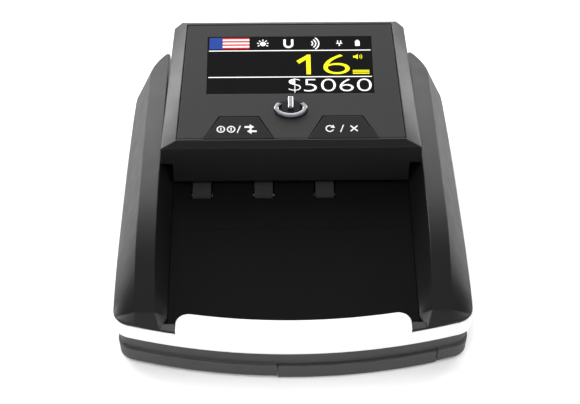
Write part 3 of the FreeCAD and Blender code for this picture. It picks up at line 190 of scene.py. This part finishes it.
def circuit_board(name):
    """Green solder mask over copper tracks that show as lighter lines."""
    material, tree, surface = new_finish(name)
    place = node(tree, "TexCoord").outputs["Object"]
    layout = {"Vector": place, "Scale": 90.0, "Mortar Size": 0.035}
    mask = {"Color1": opaque(0.012, 0.10, 0.035), "Color2": opaque(0.010, 0.085, 0.03)}
    tracks = node(tree, "TexBrick", {**layout, **mask, "Mortar": opaque(0.04, 0.22, 0.075)})
    coating = remap(tree, noise(tree, 4.0), NOISE_MIDDLE, (0.25, 0.4))
    tree.links.new(tracks.outputs["Color"], surface.inputs["Base Color"])
    tree.links.new(coating, surface.inputs["Roughness"])
    set_bump(tree, surface, tracks.outputs["Fac"], depth=0.03, strength=0.6)
    return material


def glass_face(name, colour, roughness, shine):
    """A smooth dark window with the faintest smears."""
    material, tree, surface = new_finish(name)
    smears = noise(tree, 7.0, detail=5.0, stretch=(1.0, 0.35, 1.0))
    toned = blend_colours(tree, smears, lighter(colour, 0.9), lighter(colour, 1.15))
    wiped = remap(tree, smears, NOISE_MIDDLE, (roughness, roughness + 0.07))
    tree.links.new(toned, surface.inputs["Base Color"])
    tree.links.new(wiped, surface.inputs["Roughness"])
    surface.inputs["Specular IOR Level"].default_value = shine
    return material


def lit_ink(name, colour, strength):
    """A glowing area of the display, a little uneven as a backlight is."""
    material, tree, surface = new_finish(name)
    uneven = remap(tree, noise(tree, 12.0), NOISE_MIDDLE, (0.94, 1.0))
    glow = blend_colours(tree, uneven, lighter(colour, 0.8), colour)
    tree.links.new(glow, surface.inputs["Emission Color"])
    surface.inputs["Base Color"].default_value = lighter(colour, 0.3)
    surface.inputs["Emission Strength"].default_value = strength
    surface.inputs["Roughness"].default_value = 0.5
    surface.inputs["Specular IOR Level"].default_value = 0.1
    return material


def printed_ink(name, colour):
    """Screen-printed ink: matt, slightly grainy."""
    material, tree, surface = new_finish(name)
    grain = noise(tree, 0.2, detail=3.0)
    toned = blend_colours(tree, grain, lighter(colour, 0.93), colour)
    tree.links.new(toned, surface.inputs["Base Color"])
    set_bump(tree, surface, grain, depth=0.004, strength=0.6)
    surface.inputs["Roughness"].default_value = 0.55
    return material


FINISHES = {
    "satin_shell": moulded(
        "satin_shell_finish", grey(0.0075, 0.04), 0.38, grain=0.4, depth=0.012, edge=0.7, shine=0.42
    ),
    "dark_base_plastic": moulded(
        "base_finish", grey(0.048), 0.46, grain=0.5, depth=0.02, edge=0.5
    ),
    "pale_trim": moulded(
        "trim_finish", grey(0.86), 0.34, grain=0.5, depth=0.004, mottle=0.015, edge_wear_and_sheen=0.05
    ),
    "tray_gloss": moulded(
        "tray_finish", grey(0.0042), 0.42,
        grain=0.5, depth=0.006, mottle=0.05, edge=0.3, edge_wear_and_sheen=0.3, shine=0.05,
    ),
    "panel_satin": moulded(
        "panel_finish", grey(0.020, 0.04), 0.46,
        grain=0.3, depth=0.01, mottle=0.05, edge=0.25, edge_wear_and_sheen=0.3, shine=0.4,
    ),
    "key_satin": moulded(
        "key_finish", grey(0.011, 0.04), 0.42,
        grain=0.3, depth=0.014, mottle=0.05, edge=0.35, edge_wear_and_sheen=0.5, shine=0.2,
    ),
    "component_black": moulded("component_finish", grey(0.02), 0.5, grain=0.3, depth=0.006, edge=0.15),
    "roller_rubber": moulded(
        "rubber_finish", grey(0.016), 0.72, grain=0.25, depth=0.03, edge_wear_and_sheen=0.3, shine=0.3
    ),
    "foot_rubber": moulded(
        "foot_finish", grey(0.03), 0.8, grain=0.3, depth=0.03, edge_wear_and_sheen=0.4, shine=0.3
    ),
    "gear_plastic": moulded(
        "gear_finish", opaque(0.72, 0.70, 0.62), 0.42, grain=0.4, mottle=0.04, edge_wear_and_sheen=0.1
    ),
    "pack_wrap": moulded("pack_finish", opaque(0.03, 0.09, 0.30), 0.3, grain=1.5, depth=0.03, edge_wear_and_sheen=0.2),
    "lamp_clear": moulded("lamp_finish", opaque(0.55, 0.58, 0.75), 0.18, grain=0.5, edge_wear_and_sheen=0.1),
    "plated": metal("plated_finish", opaque(0.42, 0.43, 0.46), 0.16, streak=0.9, depth=0.03, spread=0.05),
    "steel": metal("steel_finish", opaque(0.62, 0.63, 0.65), 0.26, stretch=(1.0, 0.1, 0.1)),
    "zinc_plate": metal(
        "zinc_finish", opaque(0.55, 0.57, 0.60), 0.38, stretch=(1.0, 0.15, 1.0), streak=1.0
    ),
    "bronze": metal("bronze_finish", opaque(0.62, 0.38, 0.16), 0.36),
    "board_green": circuit_board("board_finish"),
    "dark_glass": glass_face("display_glass_finish", grey(0.0065), 0.16, 0.04),
    "window_tint": glass_face("sensor_glass_finish", opaque(0.02, 0.006, 0.012), 0.08, 0.5),
}
for cad_node in frame["nodes"].values():
    for material_slot in cad_node.material_slots:
        slot_name = material_slot.material.name.split(".")[0]
        material_slot.material = FINISHES[slot_name]

WHITE_LIGHT = lit_ink("screen_white", grey(1.0), 1.0)
YELLOW_LIGHT = lit_ink("screen_yellow", opaque(0.93, 0.90, 0.01), 1.0)
RED_LIGHT = lit_ink("screen_red", opaque(0.62, 0.02, 0.03), 0.8)
BLUE_LIGHT = lit_ink("screen_blue", opaque(0.02, 0.06, 0.30), 0.9)
KEY_INK = printed_ink("key_ink", grey(0.78))


# ---------------------------------------------------------------- flat shapes, in millimetres


def bar(left, front, right, back):
    """A rectangle as one outline."""
    return [(left, front), (right, front), (right, back), (left, back)]


def line(start, end, width):
    """A straight stroke as one outline."""
    run = Vector(end) - Vector(start)
    side = Vector((-run.y, run.x)).normalized() * width / 2
    return [tuple(Vector(p) + side * s) for p, s in ((start, -1), (end, -1), (end, 1), (start, 1))]


def arc(centre, radius, width, start, end, steps=24):
    """A curved stroke from the start angle to the end angle in degrees, as one outline."""
    angles = [math.radians(start + (end - start) * step / steps) for step in range(steps + 1)]
    inner = [polar(centre, radius - width / 2, angle) for angle in angles]
    outer = [polar(centre, radius + width / 2, angle) for angle in reversed(angles)]
    return inner + outer


def polar(centre, radius, angle):
    """The point at that angle, in radians, on a circle."""
    return (centre[0] + radius * math.cos(angle), centre[1] + radius * math.sin(angle))


def disc(centre, radius, sides=32):
    """A filled circle as one outline."""
    return [polar(centre, radius, 2 * math.pi * side / sides) for side in range(sides)]


def shifted(outlines, right, back):
    """The outlines moved by that much."""
    return [[(x + right, y + back) for x, y in outline] for outline in outlines]


def scaled(outlines, share):
    """The outlines made larger or smaller about the origin."""
    return [[(x * share, y * share) for x, y in outline] for outline in outlines]


def both_halves(right_half):
    """One outline from its right half, which runs from front to back."""
    return right_half + [(-x, y) for x, y in reversed(right_half)]


# ---------------------------------------------------------------- the tilted panel


PRESS = next(joint for joint in frame["joints"] if joint["name"] == "power_press")
OUTWARD = -Vector(PRESS["axis"]).normalized()
RIGHT = Vector((1.0, 0.0, 0.0))
UP_SLOPE = OUTWARD.cross(RIGHT)


def reach(cad_name, direction):
    """How far a CAD node reaches along a direction: (lowest, highest)."""
    steps = [vertex.co.dot(direction) for vertex in frame["nodes"][cad_name].data.vertices]
    return min(steps), max(steps)


def face_of(cad_name):
    """The frame on a CAD node's outward face: X right, Y up the slope, origin at its front middle."""
    left, right = reach(cad_name, RIGHT)
    front = reach(cad_name, UP_SLOPE)[0]
    level = reach(cad_name, OUTWARD)[1]
    origin = RIGHT * (left + right) / 2 + UP_SLOPE * front + OUTWARD * level
    axes = Matrix((RIGHT, UP_SLOPE, OUTWARD)).transposed().to_4x4()
    return Matrix.Translation(origin) @ axes


def add_piece(name, mesh, finish, body):
    """Puts a mesh that is already in place into the scene, riding on a CAD body."""
    piece = bpy.data.objects.new(name, mesh)
    bpy.context.scene.collection.objects.link(piece)
    mesh.materials.clear()
    mesh.materials.append(finish)
    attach(piece, body)
    return piece


def slab(name, outlines, thickness, place, finish, body):
    """Outlines in millimetres raised into thin solids on the frame given by place."""
    shape = bmesh.new()
    for outline in outlines:
        lower = [shape.verts.new((x * MM, y * MM, 0.0)) for x, y in outline]
        upper = [shape.verts.new((x * MM, y * MM, thickness * MM)) for x, y in outline]
        shape.faces.new(list(reversed(lower)))
        shape.faces.new(upper)
        for first in range(len(outline)):
            second = (first + 1) % len(outline)
            shape.faces.new((lower[first], lower[second], upper[second], upper[first]))
    bmesh.ops.recalc_face_normals(shape, faces=shape.faces)
    shape.transform(place)
    mesh = bpy.data.meshes.new(name)
    shape.to_mesh(mesh)
    shape.free()
    return add_piece(name, mesh, finish, body)


def figures(name, text, corners, thickness, place, finish, body, thinned):
    """Numerals stretched to fill the rectangle between two corners, in millimetres."""
    letters = bpy.data.curves.new(name, "FONT")
    letters.body = text
    letters.resolution_u = 6
    letters.offset = -thinned
    letters.extrude = 0.5
    source = bpy.data.objects.new(name + "_source", letters)
    bpy.context.scene.collection.objects.link(source)
    bpy.context.view_layer.update()
    evaluated = source.evaluated_get(bpy.context.evaluated_depsgraph_get())
    mesh = bpy.data.meshes.new_from_object(evaluated)
    bpy.data.objects.remove(source)
    bpy.data.curves.remove(letters)
    (left, front), (right, back) = corners
    for axis, (start, end) in enumerate(((left, right), (front, back), (0.0, thickness))):
        low = min(vertex.co[axis] for vertex in mesh.vertices)
        high = max(vertex.co[axis] for vertex in mesh.vertices)
        for vertex in mesh.vertices:
            share = (vertex.co[axis] - low) / (high - low)
            vertex.co[axis] = (start + (end - start) * share) * MM
    mesh.transform(place)
    mesh.name = name
    return add_piece(name, mesh, finish, body)


# ---------------------------------------------------------------- display


SCREEN = face_of("display_window")
SCREEN_FRONT, SCREEN_BACK = reach("display_window", UP_SLOPE)
SCREEN_DEPTH = (SCREEN_BACK - SCREEN_FRONT) / MM
SCREEN_HALF = reach("display_window", RIGHT)[1] / MM
INK_HEIGHT = 0.05
RULE_END_GAP = 0.6
RULE_HALF_WIDTH = 0.2
LOWER_RULE = 8.3
UPPER_RULE = 21.8
COUNT_FRONT = 9.6
COUNT_BACK = 19.6


def screen_slab(name, outlines, finish):
    """Lit outlines on the display."""
    return slab(name, outlines, INK_HEIGHT, SCREEN, finish, "head")


def screen_figures(name, text, corners, finish, thinned=0.016):
    """Lit numerals on the display, filling the rectangle between two corners."""
    return figures(name, text, corners, INK_HEIGHT, SCREEN, finish, "head", thinned)


# Two rules part the display into a status row, the count and the total.
rule_end = SCREEN_HALF - RULE_END_GAP
rules = [
    bar(-rule_end, level - RULE_HALF_WIDTH, rule_end, level + RULE_HALF_WIDTH)
    for level in (LOWER_RULE, UPPER_RULE)
]
screen_slab("screen_rules", rules, WHITE_LIGHT)
one_foot = [(6.3, COUNT_FRONT), (8.0, COUNT_FRONT)]
one_flag = [(8.0, COUNT_BACK), (6.8, COUNT_BACK), (2.5, 16.4), (3.5, 15.0), (6.3, 17.1)]
screen_slab("screen_one", [one_foot + one_flag], YELLOW_LIGHT)
screen_figures("screen_six", "6", ((12.9, COUNT_FRONT), (23.1, COUNT_BACK)), YELLOW_LIGHT)
screen_figures("screen_sign", "$", ((-0.8, 0.5), (4.0, 7.6)), WHITE_LIGHT, thinned=0.028)
screen_figures("screen_total", "5060", ((5.2, 1.0), (31.2, 7.2)), WHITE_LIGHT)

# A striped tile in the top corner, with a plain blue end.
TILE_STRIPES = 7
TILE_LEFT = -31.4
TILE_BLUE_END = TILE_LEFT + 5.2
TILE_RIGHT = -15.8
TILE_FRONT = UPPER_RULE + 0.9
TILE_BACK = SCREEN_DEPTH - 0.5
stripe_step = (TILE_BACK - TILE_FRONT) / TILE_STRIPES
screen_slab("screen_tile_blue", [bar(TILE_LEFT, TILE_FRONT, TILE_BLUE_END, TILE_BACK)], BLUE_LIGHT)
for tile_name, first_stripe, tile_light in (("red", 0, RED_LIGHT), ("white", 1, WHITE_LIGHT)):
    stripes = []
    for stripe in range(first_stripe, TILE_STRIPES, 2):
        stripe_front = TILE_FRONT + stripe_step * stripe
        stripe_back = TILE_FRONT + stripe_step * (stripe + 1)
        stripes.append(bar(TILE_BLUE_END, stripe_front, TILE_RIGHT, stripe_back))
    screen_slab("screen_tile_" + tile_name, stripes, tile_light)

# Three marks for the kinds of sensing: a lamp with rays, a horseshoe magnet and a row of waves.
BULB_MIDDLE = (0.0, 1.9)
bulb_mark = [disc(BULB_MIDDLE, 1.1)]
for angle in range(-30, 211, 40):
    turn = math.radians(angle)
    bulb_mark.append(line(polar(BULB_MIDDLE, 1.5, turn), polar(BULB_MIDDLE, 2.3, turn), 0.4))

MAGNET_RADIUS = 1.5
MAGNET_WIDTH = 0.9
MAGNET_TOP = 4.2
magnet_inner = MAGNET_RADIUS - MAGNET_WIDTH / 2
magnet_outer = MAGNET_RADIUS + MAGNET_WIDTH / 2
bend = arc((0.0, 1.7), MAGNET_RADIUS, MAGNET_WIDTH, 180, 360)
half_bend = len(bend) // 2
magnet_mark = [(-magnet_inner, MAGNET_TOP)]
magnet_mark += bend[:half_bend]
magnet_mark += [(magnet_inner, MAGNET_TOP), (magnet_outer, MAGNET_TOP)]
magnet_mark += bend[half_bend:]
magnet_mark += [(-magnet_outer, MAGNET_TOP)]

wave_marks = [arc((-1.8, 2.0), 1.3 + 1.2 * wave, 0.5, -52, 52) for wave in range(3)]
MODES_FRONT = UPPER_RULE + 1.6
modes = shifted(bulb_mark, -10.5, MODES_FRONT)
modes += shifted([magnet_mark], -0.5, MODES_FRONT)
modes += shifted(wave_marks, 9.5, MODES_FRONT)
screen_slab("screen_modes", modes, WHITE_LIGHT)

# Status marks, small: a plug and a battery, each given by its right half.
STATUS_FRONT = UPPER_RULE + 2.2
half_plug = [(0.25, 0.0), (0.25, 1.2), (1.2, 1.2), (1.2, 1.6)]
half_plug += [(0.8, 1.6), (0.8, 2.9), (0.4, 2.9), (0.4, 1.6)]
half_battery = [(0.9, 0.0), (0.9, 2.6), (0.4, 2.6), (0.4, 3.1)]
status = shifted([both_halves(half_plug)], 19.4, STATUS_FRONT)
status += shifted([both_halves(half_battery)], 26.5, STATUS_FRONT)
screen_slab("screen_status", status, WHITE_LIGHT)

# Beside the count: a loudspeaker and a short stack of notes.
NOTE_STEP = 0.75
NOTE_THICKNESS = 0.4
speaker_mark = [[(-1.6, -0.5), (-0.8, -0.5), (0.2, -1.3), (0.2, 1.3), (-0.8, 0.5), (-1.6, 0.5)]]
speaker_mark += [arc((0.2, 0.0), radius, 0.25, -45, 45) for radius in (0.9, 1.6)]
note_marks = []
for note in range(3):
    note_front = 9.7 + NOTE_STEP * note
    note_marks.append(bar(24.2, note_front, 30.6, note_front + NOTE_THICKNESS))
screen_slab("screen_units", shifted(speaker_mark, 26.2, 18.4) + note_marks, YELLOW_LIGHT)


# ---------------------------------------------------------------- key marks


RING_RADIUS = 1.15
RING_WIDTH = 0.4
CROSS_REACH = 1.1
CROSS_GAP = 0.2
CROSS_WIDTH = 0.45
KEY_MARK_DEPTH = 4.5
KEY_MARK_SCALE = 1.2
KEY_MARK_HEIGHT = 0.06

arrow = [[(-1.0, -0.35), (0.6, -0.35), (0.6, -1.1), (2.0, 0.0), (0.6, 1.1), (0.6, 0.35), (-1.0, 0.35)]]
slash = [line((-0.5, -1.4), (0.5, 1.4), 0.35)]

# The left key: two coins, a slash, and arrows both ways.
coin = [arc((0.0, 0.0), RING_RADIUS, RING_WIDTH, 1, 359, steps=36), bar(-0.2, -0.6, 0.2, 0.6)]
left_mark = shifted(coin, -5.6, 0.0) + shifted(coin, -2.4, 0.0)
left_mark += slash
left_mark += shifted(arrow, 2.8, 0.85) + shifted(scaled(arrow, -1.0), 4.6, -0.85)

# The right key: a loop with an arrow's head, a slash and a cross, one stroke of it in two parts.
loop = [arc((0.0, 0.0), RING_RADIUS, RING_WIDTH, 60, 340, steps=30), [(0.2, 0.4), (1.6, 0.2), (1.1, 1.5)]]
cross = [
    line((-CROSS_REACH, -CROSS_REACH), (CROSS_REACH, CROSS_REACH), CROSS_WIDTH),
    line((-CROSS_REACH, CROSS_REACH), (-CROSS_GAP, CROSS_GAP), CROSS_WIDTH),
    line((CROSS_GAP, -CROSS_GAP), (CROSS_REACH, -CROSS_REACH), CROSS_WIDTH),
]
right_mark = shifted(loop, -4.2, 0.0) + shifted(slash, -0.4, 0.0) + shifted(cross, 3.4, 0.0)

for key_name, mark in (("left_key", left_mark), ("right_key", right_mark)):
    placed = shifted(scaled(mark, KEY_MARK_SCALE), 0.0, KEY_MARK_DEPTH)
    key_face = face_of(key_name)
    slab(key_name + "_mark", placed, KEY_MARK_HEIGHT, key_face, KEY_INK, key_name + "_cap")


# ---------------------------------------------------------------- stage, lights and camera


FLOOR_HALF = 4.0
FLOOR_GRAIN = 400.0
FLOOR_REFLECTED_SHADE = 0.6
FLOOR_GLOW = 0.3
FLOOR_GLOW_EDGE = (0.90, 1.15)  # in half widths and depths of the machine, none and full
CAMERA_PLACE = (-0.00595, -0.44564, 0.39588)
CAMERA_TILT = 50.0
CAMERA_TURN = -0.71
CAMERA_LENS = 93.1
CAMERA_FILM_WIDTH = 36.0


def floor_finish():
    """White paper with painted shade where it is seen in reflections. Outside the machine's footprint the
    camera sees it glow, painted light that lifts the floor's shadow.
    """
    material, tree, surface = new_finish("floor_finish")
    ray = node(tree, "LightPath")
    paper = blend_colours(tree, noise(tree, FLOOR_GRAIN), grey(0.90), grey(0.93))
    # painted shade: the paper is greyer where it is seen in reflections
    toned = blend_colours(tree, ray.outputs["Is Glossy Ray"], paper, grey(FLOOR_REFLECTED_SHADE))
    # painted light: away from the machine the paper glows for the camera, lifting its shadow
    place = node(tree, "NewGeometry").outputs["Position"]
    share = node(tree, "VectorMath", {0: place, 1: CAD_HIGH}, operation="DIVIDE").outputs["Vector"]
    share = node(tree, "VectorMath", {0: share}, operation="ABSOLUTE").outputs["Vector"]
    share = node(tree, "SeparateXYZ", {0: share})
    outward = node(tree, "Math", {0: share.outputs["X"], 1: share.outputs["Y"]}, operation="MAXIMUM")
    glow = remap(tree, outward.outputs["Value"], FLOOR_GLOW_EDGE, (0.0, FLOOR_GLOW))
    tree.links.new(toned, surface.inputs["Base Color"])
    tree.links.new(multiply(tree, glow, ray.outputs["Is Camera Ray"]), surface.inputs["Emission Strength"])
    surface.inputs["Emission Color"].default_value = grey(1.0)
    surface.inputs["Roughness"].default_value = 0.7
    surface.inputs["Specular IOR Level"].default_value = 0.2
    return material


def add_floor(half, finish):
    """A square floor at height 0, which is staging and no part of the machine."""
    mesh = bpy.data.meshes.new("floor")
    corners = [(-half, -half, 0.0), (half, -half, 0.0), (half, half, 0.0), (-half, half, 0.0)]
    mesh.from_pydata(corners, [], [(0, 1, 2, 3)])
    mesh.materials.append(finish)
    floor = bpy.data.objects.new("floor", mesh)
    bpy.context.scene.collection.objects.link(floor)


def add_softbox(name, place, width, height, watts, mirrored=True):
    """A rectangular studio light that faces the machine. A fill light is kept out of reflections."""
    light = bpy.data.lights.new(name, "AREA")
    light.shape = "RECTANGLE"
    light.size = width
    light.size_y = height
    light.energy = watts
    lamp = bpy.data.objects.new(name, light)
    lamp.location = place
    lamp.rotation_euler = (CAD_MIDDLE - Vector(place)).to_track_quat("-Z", "Y").to_euler()
    lamp.visible_glossy = mirrored
    bpy.context.scene.collection.objects.link(lamp)


def add_camera():
    """The camera, in front of the machine and looking down at it."""
    camera = bpy.data.cameras.new("camera")
    camera.lens = CAMERA_LENS
    camera.sensor_width = CAMERA_FILM_WIDTH
    camera.clip_start = 0.01
    camera.clip_end = 30.0
    holder = bpy.data.objects.new("camera", camera)
    holder.location = CAMERA_PLACE
    holder.rotation_euler = Euler((math.radians(CAMERA_TILT), 0.0, math.radians(CAMERA_TURN)))
    bpy.context.scene.collection.objects.link(holder)
    bpy.context.scene.camera = holder


def set_world(brightest, dim, painted_edge_highlight, spread):
    """A white studio that is bright towards one direction and dim away from it."""
    world = bpy.data.worlds.new("studio")
    world.use_nodes = True
    tree = world.node_tree
    background = tree.nodes["Background"]
    background.inputs["Color"].default_value = grey(1.0)
    ray = node(tree, "TexCoord").outputs["Generated"]
    aim = Vector(brightest).normalized()
    nearness = node(tree, "VectorMath", {0: ray, 1: aim}, operation="DOT_PRODUCT").outputs["Value"]
    level = remap(tree, nearness, spread, (dim, painted_edge_highlight))
    tree.links.new(level, background.inputs["Strength"])
    bpy.context.scene.world = world


add_camera()
set_world(brightest=(-0.25, 0.80, 0.55), dim=0.24, painted_edge_highlight=1.5, spread=(0.55, 1.0))
add_floor(FLOOR_HALF, floor_finish())
add_softbox("rear_softbox", place=(-0.15, 0.85, 0.62), width=0.8, height=0.35, watts=2.6)
add_softbox("left_softbox", place=(-0.60, 0.50, 0.35), width=0.3, height=0.4, watts=3.0)
add_softbox("right_softbox", place=(0.60, 0.60, 0.35), width=0.3, height=0.4, watts=3.1)
add_softbox("front_fill", place=(0.0, -0.70, 0.90), width=1.2, height=0.6, watts=10.0, mirrored=False)
add_softbox("left_fill", place=(-1.0, -0.30, 0.35), width=0.5, height=0.5, watts=3.0, mirrored=False)
add_softbox("right_fill", place=(1.0, -0.30, 0.35), width=0.5, height=0.5, watts=2.5, mirrored=False)
bpy.context.scene.view_settings.view_transform = "Standard"
